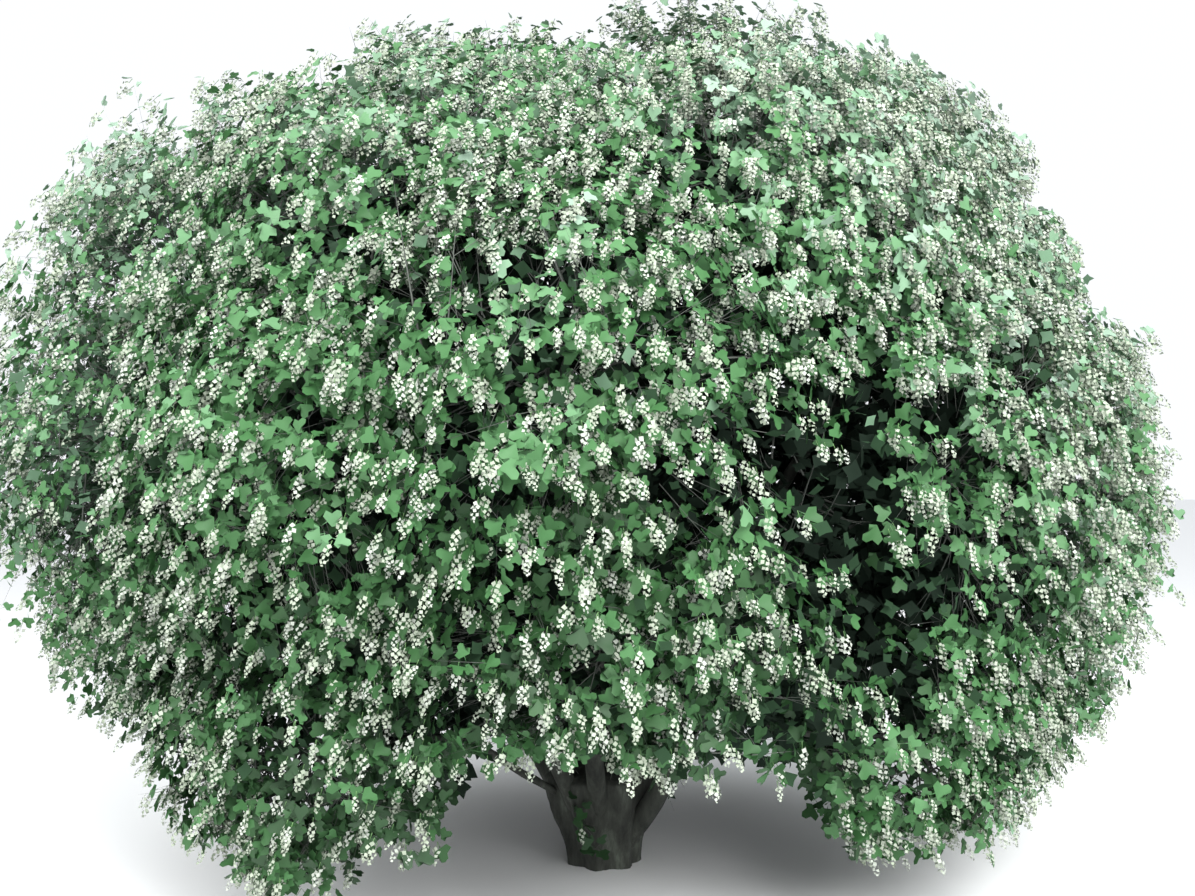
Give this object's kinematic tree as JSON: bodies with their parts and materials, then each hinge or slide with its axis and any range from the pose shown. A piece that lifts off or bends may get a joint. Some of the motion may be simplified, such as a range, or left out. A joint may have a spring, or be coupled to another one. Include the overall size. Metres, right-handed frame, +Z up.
{
  "type": "flowering currant shrub",
  "caption": "Large domed deciduous shrub in bloom: short fluted trunk, spreading boughs and masses of lobed leaves with hanging white flower clusters.",
  "frame": {"origin": "middle of the flat cut under the trunk, at ground level", "axes": "+Z up, the front that the picture shows faces -Y, +X to the right in the picture"},
  "size_m": [3.9864, 3.3408, 2.969],
  "materials": {
    "bark": "rough",
    "foliage": "matt"
  },
  "bodies": {
    "root": {"bough_flank_back": "bark", "bough_flank_front": "bark", "bough_flank_front_left": "bark", "bough_flank_front_right": "bark", "bough_shoulder_back_left": "bark", "bough_shoulder_back_right": "bark", "bough_shoulder_left": "bark", "bough_shoulder_right": "bark", "bough_skirt_front_left": "bark", "bough_top_left": "bark", "bough_top_right": "bark", "foliage_flank_back": "foliage", "foliage_flank_back_left": "foliage", "foliage_flank_back_right": "foliage", "foliage_flank_front": "foliage", "foliage_flank_front_left": "foliage", "foliage_flank_front_right": "foliage", "foliage_flank_left": "foliage", "foliage_flank_right": "foliage", "foliage_shoulder_back_left": "foliage", "foliage_shoulder_back_right": "foliage", "foliage_shoulder_front_left": "foliage", "foliage_shoulder_front_right": "foliage", "foliage_shoulder_left": "foliage", "foliage_shoulder_right": "foliage", "foliage_skirt_back": "foliage", "foliage_skirt_back_left": "foliage", "foliage_skirt_back_right": "foliage", "foliage_skirt_front": "foliage", "foliage_skirt_front_left": "foliage", "foliage_skirt_front_right": "foliage", "foliage_skirt_left": "foliage", "foliage_skirt_right": "foliage", "foliage_top_far_right": "foliage", "foliage_top_left": "foliage", "foliage_top_right": "foliage", "limb_flank_back_left": "bark", "limb_flank_back_right": "bark", "limb_flank_left": "bark", "limb_flank_right": "bark", "limb_shoulder_front_left": "bark", "limb_shoulder_front_right": "bark", "limb_skirt_back": "bark", "limb_skirt_back_left": "bark", "limb_skirt_back_right": "bark", "limb_skirt_front": "bark", "limb_skirt_front_right": "bark", "limb_skirt_left": "bark", "limb_skirt_right": "bark", "limb_top_far_right": "bark", "trunk": "bark"}
  },
  "joints": []
}
